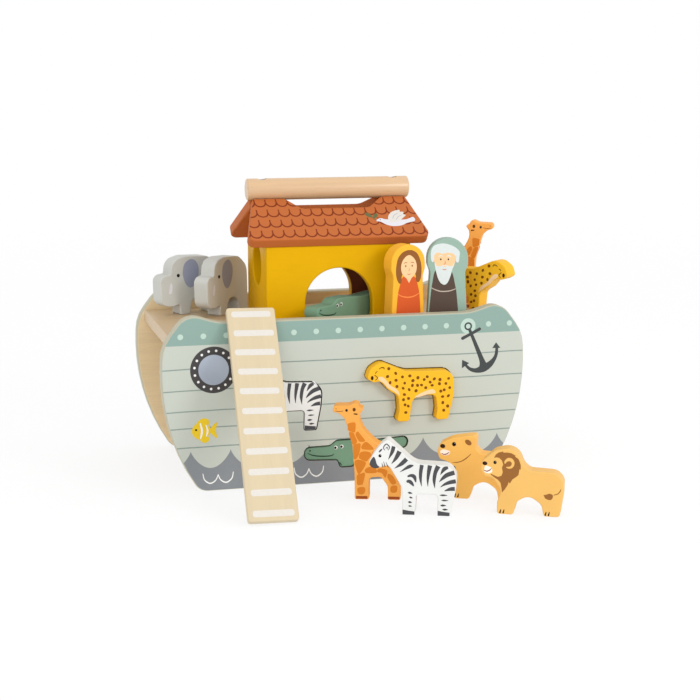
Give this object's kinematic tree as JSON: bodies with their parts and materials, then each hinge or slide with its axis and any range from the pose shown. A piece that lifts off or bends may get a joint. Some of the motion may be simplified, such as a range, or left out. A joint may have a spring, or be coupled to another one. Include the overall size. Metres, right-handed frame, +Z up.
{
  "type": "toy ark",
  "caption": "Wooden toy ark: open-ended hull with animal-shaped sorter slots, cabin with arched doors, pitched roof with a dowel handle, gangplank and loose flat figures.",
  "frame": {"origin": "on the floor under the middle of the hull, at the centre of the bottom board's underside", "axes": "+X along the hull to the right seen from the front, +Y to the rear panel, +Z up"},
  "size_m": [0.3079, 0.3056, 0.241],
  "materials": {
    "panel_paint": "satin printed paint on pale wood, bare edges",
    "bare_wood": "clear satin lacquer on pale wood",
    "cabin_paint": "satin yellow paint",
    "roof_paint": "satin orange paint with a printed scallop pattern",
    "handle_wood": "clear satin lacquer on turned wood",
    "plank_wood": "clear satin lacquer with white printed rungs",
    "screw_steel": "dark zinc",
    "zebra_paint": "satin white paint with grey stripes",
    "leopard_paint": "satin yellow paint with brown spots",
    "giraffe_paint": "satin orange paint with darker patches",
    "lion_paint": "satin sand paint with a brown mane",
    "lioness_paint": "satin sand paint",
    "elephant_paint": "satin grey paint",
    "crocodile_paint": "satin green paint",
    "man_paint": "satin sage paint with a printed figure",
    "woman_paint": "satin yellow paint with a printed figure"
  },
  "bodies": {
    "ark": {"front_side_panel": "panel_paint", "rear_side_panel": "panel_paint", "deck_board": "bare_wood", "bottom_board": "bare_wood", "hull_dowels": "bare_wood", "cabin_front_wall": "cabin_paint", "cabin_rear_wall": "cabin_paint", "cabin_left_wall": "cabin_paint", "cabin_right_wall": "cabin_paint", "cabin_dowels": "bare_wood", "roof_front_board": "roof_paint", "roof_rear_board": "roof_paint", "ridge_handle": "handle_wood", "handle_screws": "screw_steel"},
    "gangplank": {"gangplank": "plank_wood"},
    "bearded_man": {"bearded_man_figure": "man_paint"},
    "woman": {"woman_figure": "woman_paint"},
    "elephant_1": {"elephant_1": "elephant_paint"},
    "elephant_2": {"elephant_2": "elephant_paint"},
    "crocodile_1": {"crocodile_1": "crocodile_paint"},
    "crocodile_2": {"crocodile_2": "crocodile_paint"},
    "leopard_1": {"leopard_1": "leopard_paint"},
    "leopard_2": {"leopard_2": "leopard_paint"},
    "giraffe_1": {"giraffe_1": "giraffe_paint"},
    "giraffe_2": {"giraffe_2": "giraffe_paint"},
    "zebra_1": {"zebra_1": "zebra_paint"},
    "zebra_2": {"zebra_2": "zebra_paint"},
    "lion": {"lion": "lion_paint"},
    "lioness": {"lioness": "lioness_paint"}
  },
  "joints": [
    {"name": "gangplank_lift", "type": "slide", "parent": "ark", "child": "gangplank", "axis": [0, -0.8, 0.6], "range_m": [0, 0.06]},
    {"name": "bearded_man_lift", "type": "slide", "parent": "ark", "child": "bearded_man", "axis": [0, 0, 1], "range_m": [0, 0.09]},
    {"name": "woman_lift", "type": "slide", "parent": "ark", "child": "woman", "axis": [0, 0, 1], "range_m": [0, 0.09]},
    {"name": "elephant_1_lift", "type": "slide", "parent": "ark", "child": "elephant_1", "axis": [0, 0, 1], "range_m": [0, 0.08]},
    {"name": "elephant_2_lift", "type": "slide", "parent": "ark", "child": "elephant_2", "axis": [-0.5, -0.5, 0.7071], "range_m": [0, 0.08]},
    {"name": "crocodile_1_push_in", "type": "slide", "parent": "ark", "child": "crocodile_1", "axis": [0, 1, 0], "range_m": [0, 0.04]},
    {"name": "crocodile_2_lift", "type": "slide", "parent": "ark", "child": "crocodile_2", "axis": [0, 0, 1], "range_m": [0, 0.005]},
    {"name": "leopard_1_push_in", "type": "slide", "parent": "ark", "child": "leopard_1", "axis": [0, 1, 0], "range_m": [0, 0.04]},
    {"name": "leopard_2_lift", "type": "slide", "parent": "ark", "child": "leopard_2", "axis": [0, 0, 1], "range_m": [0, 0.08]},
    {"name": "giraffe_1_lift", "type": "slide", "parent": "ark", "child": "giraffe_1", "axis": [0, 0, 1], "range_m": [0, 0.08]},
    {"name": "giraffe_2_lift", "type": "slide", "parent": "ark", "child": "giraffe_2", "axis": [0, 0, 1], "range_m": [0, 0.08]},
    {"name": "zebra_1_push_in", "type": "slide", "parent": "ark", "child": "zebra_1", "axis": [0, 1, 0], "range_m": [0, 0.04]},
    {"name": "zebra_2_lift", "type": "slide", "parent": "ark", "child": "zebra_2", "axis": [0, 0, 1], "range_m": [0, 0.08]},
    {"name": "lion_lift", "type": "slide", "parent": "ark", "child": "lion", "axis": [0, 0, 1], "range_m": [0, 0.08]},
    {"name": "lioness_lift", "type": "slide", "parent": "ark", "child": "lioness", "axis": [0, 0, 1], "range_m": [0, 0.08]}
  ]
}
